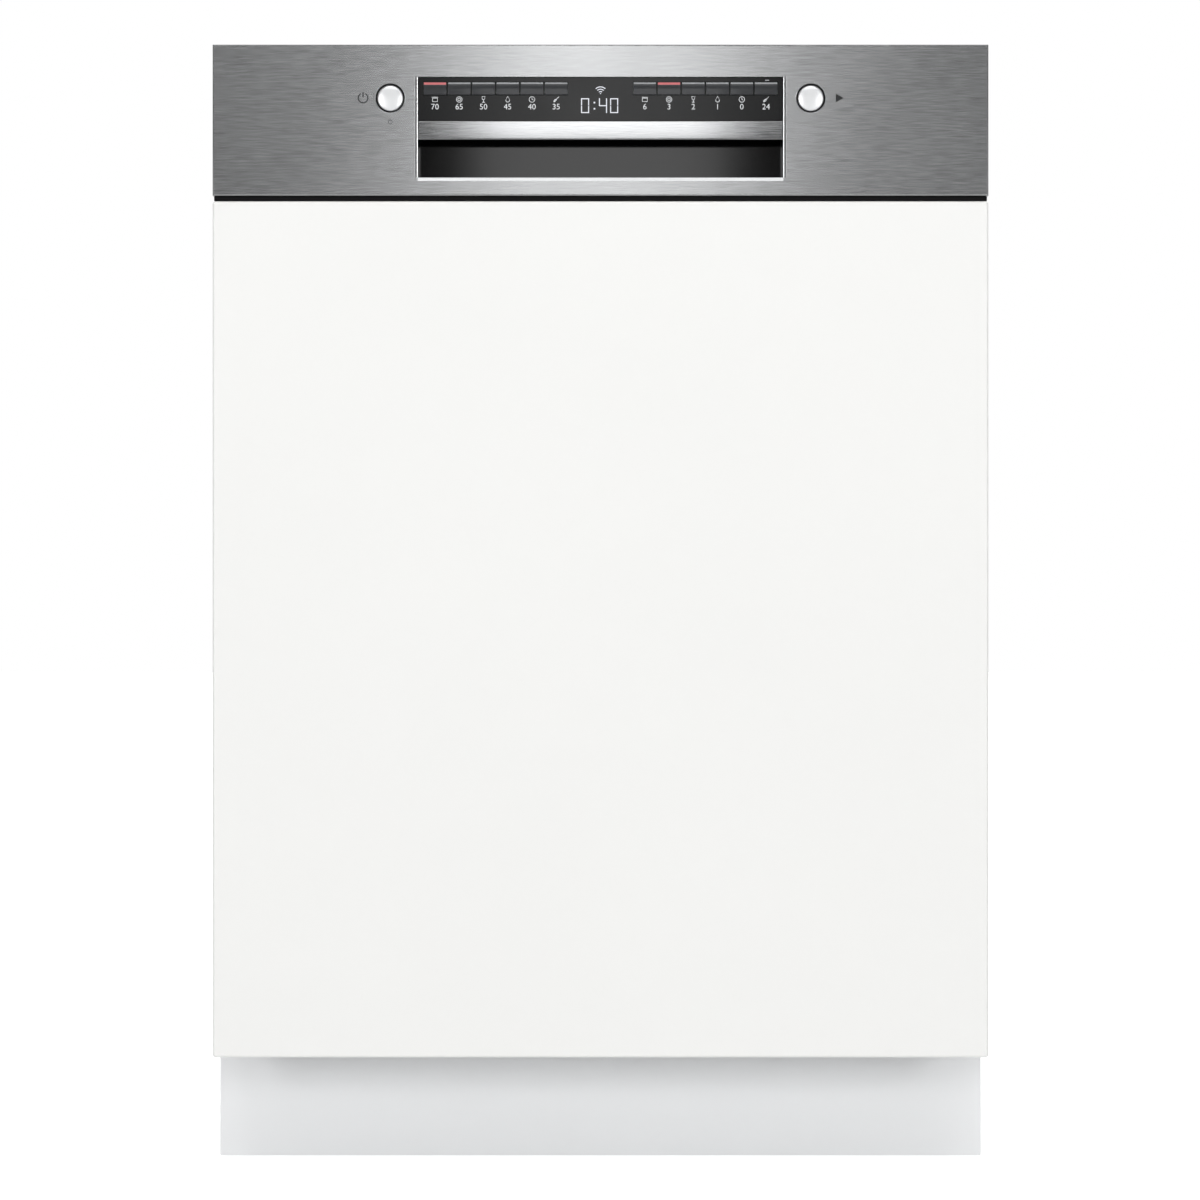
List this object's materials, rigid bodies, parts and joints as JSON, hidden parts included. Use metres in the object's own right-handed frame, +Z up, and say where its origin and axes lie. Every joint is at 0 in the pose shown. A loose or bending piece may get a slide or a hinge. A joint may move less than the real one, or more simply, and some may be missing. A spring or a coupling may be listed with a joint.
{
  "type": "built in dishwasher",
  "caption": "Semi-integrated dishwasher: steel control fascia with recessed grip above a white door panel, set-back plinth, steel tub with racks and spray arms.",
  "frame": {"origin": "middle of the footprint, on the floor", "axes": "+Z up, +Y to the back of the machine, -Y is the front, +X to the right seen from the front"},
  "size_m": [0.598, 0.573, 0.865],
  "materials": {
    "brushed_steel": "horizontally brushed stainless steel",
    "white_front": "white lacquered fibreboard front",
    "white_plinth": "white coated fibreboard plinth",
    "stainless": "smooth rolled stainless steel",
    "zinc_sheet": "galvanised sheet with fine spangle",
    "black_plastic": "moulded, fine grain",
    "gloss_black": "gloss black moulding",
    "satin_silver": "satin silver metallised plastic",
    "grey_plastic": "grey filled polypropylene",
    "pale_plastic": "pale grey moulded plastic",
    "rubber_seal": "soft black rubber",
    "circuit_board": "green solder resist",
    "coated_wire": "nylon-coated steel wire, silver grey"
  },
  "bodies": {
    "chassis": {"plinth": "white_plinth", "base_pan": "black_plastic", "tub_wrap": "stainless", "tub_rear_wall": "stainless", "tub_floor": "stainless", "door_seal": "rubber_seal", "side_panel_left": "zinc_sheet", "side_panel_right": "zinc_sheet", "top_cover": "zinc_sheet", "rear_panel": "zinc_sheet", "sump": "grey_plastic", "circulation_pump": "grey_plastic", "water_softener": "pale_plastic", "water_connections": "black_plastic", "hinge_bracket_left": "zinc_sheet", "hinge_bracket_right": "zinc_sheet", "lock_strike": "stainless", "upper_rail_left": "stainless", "upper_rail_right": "stainless"},
    "foot_front_left": {"foot_front_left": "grey_plastic"},
    "foot_front_right": {"foot_front_right": "grey_plastic"},
    "foot_rear": {"foot_rear": "grey_plastic"},
    "lower_spray_arm": {"lower_spray_arm": "grey_plastic"},
    "filter_cylinder": {"filter_cylinder": "grey_plastic"},
    "salt_cap": {"salt_cap": "pale_plastic"},
    "door": {"furniture_panel": "white_front", "door_outer_sheet": "zinc_sheet", "door_liner": "stainless", "dispenser_body": "pale_plastic", "fascia": "brushed_steel", "control_housing": "black_plastic", "grip_shell": "gloss_black", "display_panel": "gloss_black", "handle_strip": "satin_silver", "control_board": "circuit_board", "door_lock": "black_plastic", "hinge_arm_left": "zinc_sheet", "hinge_arm_right": "zinc_sheet"},
    "dispenser_lid": {"dispenser_lid": "grey_plastic"},
    "rinse_aid_cap": {"rinse_aid_cap": "grey_plastic"},
    "power_button": {"power_button": "satin_silver"},
    "start_button": {"start_button": "satin_silver"},
    "upper_rack": {"upper_rack": "coated_wire"},
    "upper_spray_arm": {"upper_spray_arm": "grey_plastic"},
    "cup_shelf": {"cup_shelf": "coated_wire"},
    "lower_rack": {"lower_rack": "coated_wire"},
    "folding_tines": {"folding_tines": "coated_wire"},
    "cutlery_drawer": {"cutlery_drawer": "coated_wire"},
    "key_01": {"key_01": "black_plastic"},
    "key_02": {"key_02": "black_plastic"},
    "key_03": {"key_03": "black_plastic"},
    "key_04": {"key_04": "black_plastic"},
    "key_05": {"key_05": "black_plastic"},
    "key_06": {"key_06": "black_plastic"},
    "key_07": {"key_07": "black_plastic"},
    "key_08": {"key_08": "black_plastic"},
    "key_09": {"key_09": "black_plastic"},
    "key_10": {"key_10": "black_plastic"},
    "key_11": {"key_11": "black_plastic"},
    "key_12": {"key_12": "black_plastic"}
  },
  "joints": [
    {"name": "door_hinge", "type": "hinge", "parent": "chassis", "child": "door", "pos_m": [0, -0.222, 0.106], "axis": [1, 0, 0], "range_deg": [0, 90], "stiffness_Nm_per_rad": 30},
    {"name": "upper_rack_slide", "type": "slide", "parent": "chassis", "child": "upper_rack", "axis": [0, -1, 0], "range_m": [0, 0.431]},
    {"name": "lower_rack_slide", "type": "slide", "parent": "chassis", "child": "lower_rack", "axis": [0, -1, 0], "range_m": [0, 0.28]},
    {"name": "cutlery_drawer_slide", "type": "slide", "parent": "chassis", "child": "cutlery_drawer", "axis": [0, -1, 0], "range_m": [0, 0.431]},
    {"name": "cup_shelf_fold", "type": "hinge", "parent": "upper_rack", "child": "cup_shelf", "pos_m": [0.242, 0.04, 0.652], "axis": [0, 1, 0], "range_deg": [0, 80]},
    {"name": "folding_tines_fold", "type": "hinge", "parent": "lower_rack", "child": "folding_tines", "pos_m": [-0.06, 0.04, 0.211], "axis": [0, 1, 0], "range_deg": [0, 88]},
    {"name": "lower_spray_arm_turn", "type": "hinge", "parent": "chassis", "child": "lower_spray_arm", "pos_m": [0, 0.028, 0.155], "axis": [0, 0, 1], "continuous": true},
    {"name": "upper_spray_arm_turn", "type": "hinge", "parent": "upper_rack", "child": "upper_spray_arm", "pos_m": [0, 0.028, 0.52], "axis": [0, 0, 1], "continuous": true},
    {"name": "filter_cylinder_turn", "type": "hinge", "parent": "chassis", "child": "filter_cylinder", "pos_m": [0.1, -0.095, 0.12], "axis": [0, 0, 1], "range_deg": [0, 90]},
    {"name": "salt_cap_turn", "type": "hinge", "parent": "chassis", "child": "salt_cap", "pos_m": [-0.11, -0.105, 0.125], "axis": [0, 0, 1], "range_deg": [0, 120]},
    {"name": "dispenser_lid_slide", "type": "slide", "parent": "door", "child": "dispenser_lid", "axis": [0, 0, 1], "range_m": [0, 0.055]},
    {"name": "rinse_aid_cap_turn", "type": "hinge", "parent": "door", "child": "rinse_aid_cap", "pos_m": [0.05, -0.205, 0.54], "axis": [0, 1, 0], "range_deg": [0, 90]},
    {"name": "foot_front_left_height", "type": "slide", "parent": "chassis", "child": "foot_front_left", "axis": [0, 0, -1], "range_m": [0, 0.06]},
    {"name": "foot_front_right_height", "type": "slide", "parent": "chassis", "child": "foot_front_right", "axis": [0, 0, -1], "range_m": [0, 0.06]},
    {"name": "foot_rear_height", "type": "slide", "parent": "chassis", "child": "foot_rear", "axis": [0, 0, -1], "range_m": [0, 0.06]},
    {"name": "key_01_press", "type": "slide", "parent": "door", "child": "key_01", "axis": [0, 1, 0], "range_m": [0, 0.0008], "stiffness_N_per_m": 700, "springref_m": -0.0006},
    {"name": "key_02_press", "type": "slide", "parent": "door", "child": "key_02", "axis": [0, 1, 0], "range_m": [0, 0.0008], "stiffness_N_per_m": 700, "springref_m": -0.0006},
    {"name": "key_03_press", "type": "slide", "parent": "door", "child": "key_03", "axis": [0, 1, 0], "range_m": [0, 0.0008], "stiffness_N_per_m": 700, "springref_m": -0.0006},
    {"name": "key_04_press", "type": "slide", "parent": "door", "child": "key_04", "axis": [0, 1, 0], "range_m": [0, 0.0008], "stiffness_N_per_m": 700, "springref_m": -0.0006},
    {"name": "key_05_press", "type": "slide", "parent": "door", "child": "key_05", "axis": [0, 1, 0], "range_m": [0, 0.0008], "stiffness_N_per_m": 700, "springref_m": -0.0006},
    {"name": "key_06_press", "type": "slide", "parent": "door", "child": "key_06", "axis": [0, 1, 0], "range_m": [0, 0.0008], "stiffness_N_per_m": 700, "springref_m": -0.0006},
    {"name": "key_07_press", "type": "slide", "parent": "door", "child": "key_07", "axis": [0, 1, 0], "range_m": [0, 0.0008], "stiffness_N_per_m": 700, "springref_m": -0.0006},
    {"name": "key_08_press", "type": "slide", "parent": "door", "child": "key_08", "axis": [0, 1, 0], "range_m": [0, 0.0008], "stiffness_N_per_m": 700, "springref_m": -0.0006},
    {"name": "key_09_press", "type": "slide", "parent": "door", "child": "key_09", "axis": [0, 1, 0], "range_m": [0, 0.0008], "stiffness_N_per_m": 700, "springref_m": -0.0006},
    {"name": "key_10_press", "type": "slide", "parent": "door", "child": "key_10", "axis": [0, 1, 0], "range_m": [0, 0.0008], "stiffness_N_per_m": 700, "springref_m": -0.0006},
    {"name": "key_11_press", "type": "slide", "parent": "door", "child": "key_11", "axis": [0, 1, 0], "range_m": [0, 0.0008], "stiffness_N_per_m": 700, "springref_m": -0.0006},
    {"name": "key_12_press", "type": "slide", "parent": "door", "child": "key_12", "axis": [0, 1, 0], "range_m": [0, 0.0008], "stiffness_N_per_m": 700, "springref_m": -0.0006},
    {"name": "power_button_press", "type": "slide", "parent": "door", "child": "power_button", "axis": [0, 1, 0], "range_m": [0, 0.002], "stiffness_N_per_m": 700, "springref_m": -0.0006},
    {"name": "start_button_press", "type": "slide", "parent": "door", "child": "start_button", "axis": [0, 1, 0], "range_m": [0, 0.002], "stiffness_N_per_m": 700, "springref_m": -0.0006}
  ],
  "couplings": [
    {"joint": "upper_rack_slide", "follows": "door_hinge", "m_per_rad": 0.274},
    {"joint": "cutlery_drawer_slide", "follows": "door_hinge", "m_per_rad": 0.274},
    {"joint": "lower_rack_slide", "follows": "door_hinge", "m_per_rad": 0.178}
  ]
}
